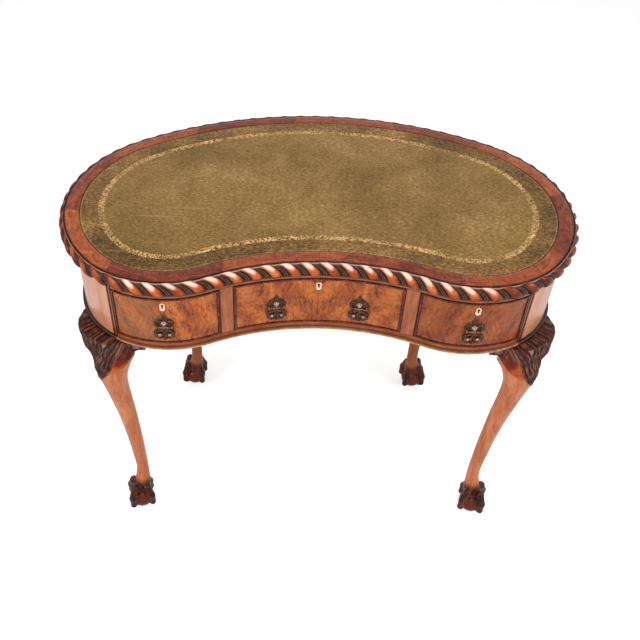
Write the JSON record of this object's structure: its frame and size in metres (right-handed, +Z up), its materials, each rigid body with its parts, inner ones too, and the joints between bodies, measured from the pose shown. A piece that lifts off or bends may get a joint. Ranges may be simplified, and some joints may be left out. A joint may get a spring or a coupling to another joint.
{
  "type": "kidney shaped writing desk",
  "caption": "Kidney shaped walnut writing desk with a leather inset top, rope carved edge, frieze drawers and cabriole legs on ball and claw feet.",
  "frame": {"origin": "on the floor, under the centre of the desk's overall width and depth", "axes": "+X to the sitter's right, +Y to the back of the desk, +Z up"},
  "size_m": [1.0946, 0.6732, 0.762],
  "materials": {
    "lock_brass": "satin",
    "escutcheon_brass": "polished, worn pale",
    "handle_bronze": "dark bronze patina",
    "screw_steel": "plain",
    "green_leather": "tooled, semi matt",
    "carved_walnut": "polished, dark in the carving",
    "rope_walnut": "polished, dark in the carving",
    "banding_walnut": "polished",
    "burr_walnut": "polished figured veneer",
    "bead_walnut": "polished",
    "panel_walnut": "polished",
    "frame_walnut": "polished",
    "drawer_lining": "plain oiled",
    "carcase_pine": "unfinished"
  },
  "bodies": {
    "desk": {"back_panel": "panel_walnut", "base_bead": "bead_walnut", "bottom_board": "carcase_pine", "bottom_rail": "frame_walnut", "corner_blocks": "carcase_pine", "corner_stiles": "frame_walnut", "crossbanding": "banding_walnut", "divider_stiles": "frame_walnut", "drawer_runners": "carcase_pine", "front_left_brackets": "carved_walnut", "front_left_leg": "carved_walnut", "front_right_brackets": "carved_walnut", "front_right_leg": "carved_walnut", "leather_inset": "green_leather", "left_end_panel": "panel_walnut", "partitions": "carcase_pine", "rear_brackets": "carved_walnut", "rear_left_leg": "carved_walnut", "rear_right_leg": "carved_walnut", "right_end_panel": "panel_walnut", "rope_moulding": "rope_walnut", "top_blocks": "carcase_pine", "top_board": "carcase_pine", "top_rail": "frame_walnut", "top_screws": "screw_steel"},
    "centre_drawer": {"centre_cock_bead": "bead_walnut", "centre_drawer_back": "drawer_lining", "centre_drawer_floor": "drawer_lining", "centre_drawer_front": "burr_walnut", "centre_drawer_sides": "drawer_lining", "centre_escutcheon": "escutcheon_brass", "centre_handle_nuts": "handle_bronze", "centre_left_handle_plate": "handle_bronze", "centre_lock_case": "lock_brass", "centre_right_handle_plate": "handle_bronze"},
    "centre_left_handle_drop": {"centre_left_handle_drop": "handle_bronze"},
    "centre_bolt": {"centre_lock_bolt": "lock_brass"},
    "centre_right_handle_drop": {"centre_right_handle_drop": "handle_bronze"},
    "left_drawer": {"left_cock_bead": "bead_walnut", "left_drawer_back": "drawer_lining", "left_drawer_floor": "drawer_lining", "left_drawer_front": "burr_walnut", "left_drawer_sides": "drawer_lining", "left_escutcheon": "escutcheon_brass", "left_handle_nuts": "handle_bronze", "left_handle_plate": "handle_bronze", "left_lock_case": "lock_brass"},
    "left_handle_drop": {"left_handle_drop": "handle_bronze"},
    "left_bolt": {"left_lock_bolt": "lock_brass"},
    "right_drawer": {"right_cock_bead": "bead_walnut", "right_drawer_back": "drawer_lining", "right_drawer_floor": "drawer_lining", "right_drawer_front": "burr_walnut", "right_drawer_sides": "drawer_lining", "right_escutcheon": "escutcheon_brass", "right_handle_nuts": "handle_bronze", "right_handle_plate": "handle_bronze", "right_lock_case": "lock_brass"},
    "right_handle_drop": {"right_handle_drop": "handle_bronze"},
    "right_bolt": {"right_lock_bolt": "lock_brass"}
  },
  "joints": [
    {"name": "left_drawer_slide", "type": "slide", "parent": "desk", "child": "left_drawer", "axis": [0, -1, 0], "range_m": [0, 0.27]},
    {"name": "left_bolt_throw", "type": "slide", "parent": "left_drawer", "child": "left_bolt", "axis": [0, 0, 1], "range_m": [0, 0.006]},
    {"name": "centre_drawer_slide", "type": "slide", "parent": "desk", "child": "centre_drawer", "axis": [0, -1, 0], "range_m": [0, 0.32]},
    {"name": "centre_bolt_throw", "type": "slide", "parent": "centre_drawer", "child": "centre_bolt", "axis": [0, 0, 1], "range_m": [0, 0.006]},
    {"name": "right_drawer_slide", "type": "slide", "parent": "desk", "child": "right_drawer", "axis": [0, -1, 0], "range_m": [0, 0.27]},
    {"name": "right_bolt_throw", "type": "slide", "parent": "right_drawer", "child": "right_bolt", "axis": [0, 0, 1], "range_m": [0, 0.006]},
    {"name": "left_drop_hinge", "type": "hinge", "parent": "left_drawer", "child": "left_handle_drop", "pos_m": [-0.30607, -0.322, 0.647], "axis": [-1, 0, 0], "range_deg": [0, 75]},
    {"name": "centre_left_drop_hinge", "type": "hinge", "parent": "centre_drawer", "child": "centre_left_handle_drop", "pos_m": [-0.08358, -0.25998, 0.647], "axis": [-0.9861, -0.1659, 0], "range_deg": [0, 75]},
    {"name": "centre_right_drop_hinge", "type": "hinge", "parent": "centre_drawer", "child": "centre_right_handle_drop", "pos_m": [0.08358, -0.25998, 0.647], "axis": [-0.9861, 0.1659, 0], "range_deg": [0, 75]},
    {"name": "right_drop_hinge", "type": "hinge", "parent": "right_drawer", "child": "right_handle_drop", "pos_m": [0.30607, -0.322, 0.647], "axis": [-1, 0, 0], "range_deg": [0, 75]}
  ]
}
